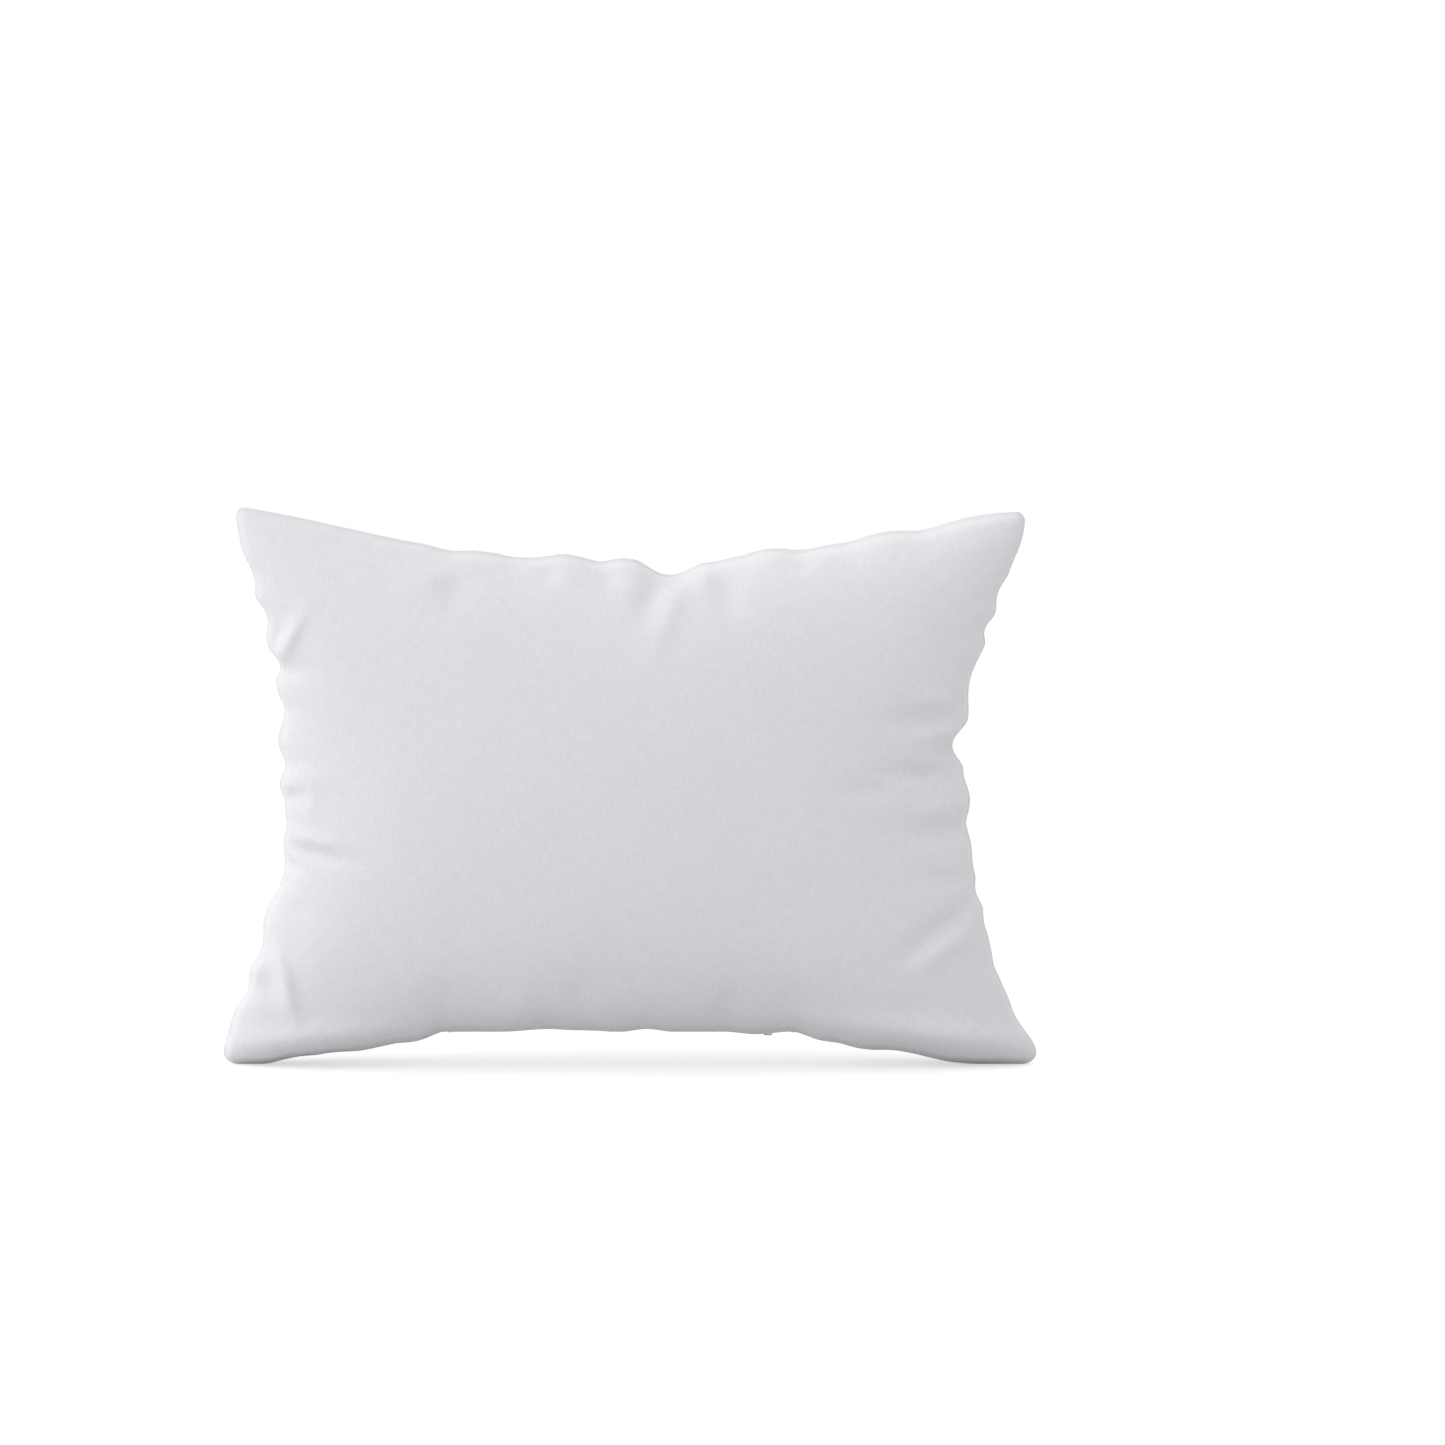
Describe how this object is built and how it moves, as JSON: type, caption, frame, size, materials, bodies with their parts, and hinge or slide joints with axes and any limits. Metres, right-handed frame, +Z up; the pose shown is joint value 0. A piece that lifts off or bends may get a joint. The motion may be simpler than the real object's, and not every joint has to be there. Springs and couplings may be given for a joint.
{
  "type": "bed pillow",
  "caption": "Plain white bed pillow standing on its long edge: a zipped percale cover with plain knife-edge seams over a lined, fibre-filled inner pillow.",
  "frame": {"origin": "on the floor plane, under the middle of the pillow, midway between its two lower corners", "axes": "+X along the long side towards the closed end of the zip, +Y from the face side to the rear side, +Z up as the pillow stands on its long edge"},
  "size_m": [0.722, 0.2, 0.489],
  "materials": {
    "cover_percale": "matte",
    "sewing_thread": "matte",
    "label_satin": "satin",
    "lining_cotton": "matte",
    "hollow_fibre": "matte",
    "zip_tape": "matte",
    "zip_coil": "satin",
    "slider_metal": "satin"
  },
  "bodies": {
    "pillow": {"cover_front_panel": "cover_percale", "cover_back_panel": "cover_percale", "seam_stitching_top": "sewing_thread", "seam_stitching_left": "sewing_thread", "seam_stitching_right": "sewing_thread", "seam_stitching_bottom_left": "sewing_thread", "seam_stitching_bottom_right": "sewing_thread", "care_label": "label_satin", "lining_front_panel": "lining_cotton", "lining_back_panel": "lining_cotton", "lining_seam_stitching": "sewing_thread", "fibre_filling": "hollow_fibre", "zip_tape_front": "zip_tape", "zip_tape_back": "zip_tape", "zip_coil_front": "zip_coil", "zip_coil_back": "zip_coil", "zip_stitching_front": "sewing_thread", "zip_stitching_back": "sewing_thread", "zip_top_stop_front": "zip_coil", "zip_top_stop_back": "zip_coil", "zip_bottom_stop": "zip_coil", "bar_tack_left": "sewing_thread", "bar_tack_right": "sewing_thread"},
    "slider": {"zip_slider": "slider_metal"},
    "pull": {"zip_pull": "slider_metal"}
  },
  "joints": [
    {"name": "zip_slide", "type": "slide", "parent": "pillow", "child": "slider", "axis": [-1, 0, 0], "range_m": [0, 0.259]},
    {"name": "pull_hinge", "type": "hinge", "parent": "slider", "child": "pull", "pos_m": [0.1222, 0, 0.0275], "axis": [0, -1, 0], "range_deg": [0, 180]}
  ]
}
